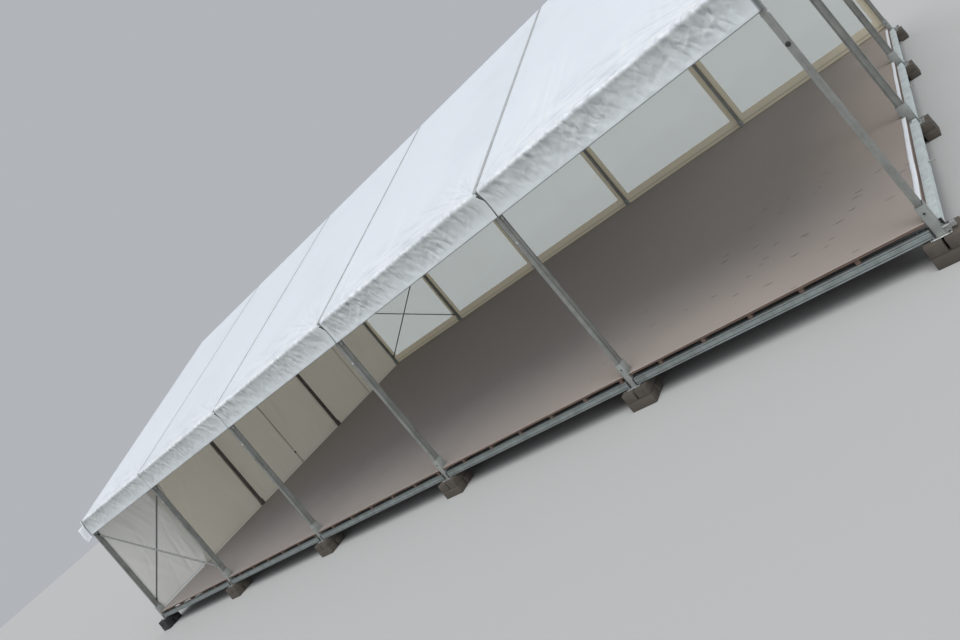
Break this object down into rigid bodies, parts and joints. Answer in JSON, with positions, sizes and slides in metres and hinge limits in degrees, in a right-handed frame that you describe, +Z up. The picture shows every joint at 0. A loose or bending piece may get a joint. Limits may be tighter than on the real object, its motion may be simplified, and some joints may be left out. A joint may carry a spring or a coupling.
{
  "type": "marquee tent",
  "caption": "Aluminium frame marquee with a pitched fabric roof, clear windows along the back, a closed gable, and a raised carpeted floor that is open at the front.",
  "frame": {"origin": "Middle of the marquee's plan, on the ground that its packing blocks stand on.", "axes": "+X along the length from the closed left gable to the open right gable, +Y from the open front to the back wall with windows, +Z up."},
  "size_m": [15.3, 9.3, 4.2341],
  "materials": {
    "aluminium": "satin, weathered",
    "brace_rods": "galvanised",
    "timber": "rough sawn, damp",
    "plywood": "bare board",
    "carpet": "short pile, taupe",
    "roof_fabric": "coated white sheeting, satin",
    "wall_fabric": "coated white sheeting, satin",
    "border_fabric": "coated cream sheeting, satin",
    "clear_sheet": "clear flexible film"
  },
  "bodies": {
    "root": {"frame_1": "aluminium", "frame_2": "aluminium", "frame_3": "aluminium", "frame_4": "aluminium", "frame_5": "aluminium", "frame_6": "aluminium", "left_gable_frame": "aluminium", "right_gable_frame": "aluminium", "front_eave_purlin": "aluminium", "front_mid_purlin": "aluminium", "ridge_purlin": "aluminium", "back_mid_purlin": "aluminium", "back_eave_purlin": "aluminium", "front_base_rail": "aluminium", "back_base_rail": "aluminium", "left_base_rail": "aluminium", "right_base_rail": "aluminium", "front_wall_brace_falling": "brace_rods", "front_wall_brace_rising": "brace_rods", "back_wall_brace_falling": "brace_rods", "back_wall_brace_rising": "brace_rods", "front_floor_bearer": "timber", "middle_floor_bearer": "timber", "back_floor_bearer": "timber", "floor_deck": "plywood", "carpet": "carpet", "roof_sheet_1": "roof_fabric", "roof_sheet_2": "roof_fabric", "roof_sheet_3": "roof_fabric", "roof_sheet_4": "roof_fabric", "roof_sheet_5": "roof_fabric", "left_wall_front": "wall_fabric", "left_wall_middle": "wall_fabric", "left_wall_back": "wall_fabric", "left_gable_triangle": "wall_fabric", "right_gable_triangle": "wall_fabric", "back_wall_1": "border_fabric", "back_wall_2": "border_fabric", "back_wall_3": "border_fabric", "back_wall_4": "border_fabric", "back_wall_5": "border_fabric", "back_window_1": "clear_sheet", "back_window_2": "clear_sheet", "back_window_3": "clear_sheet", "back_window_4": "clear_sheet", "back_window_5": "clear_sheet"}
  },
  "joints": []
}
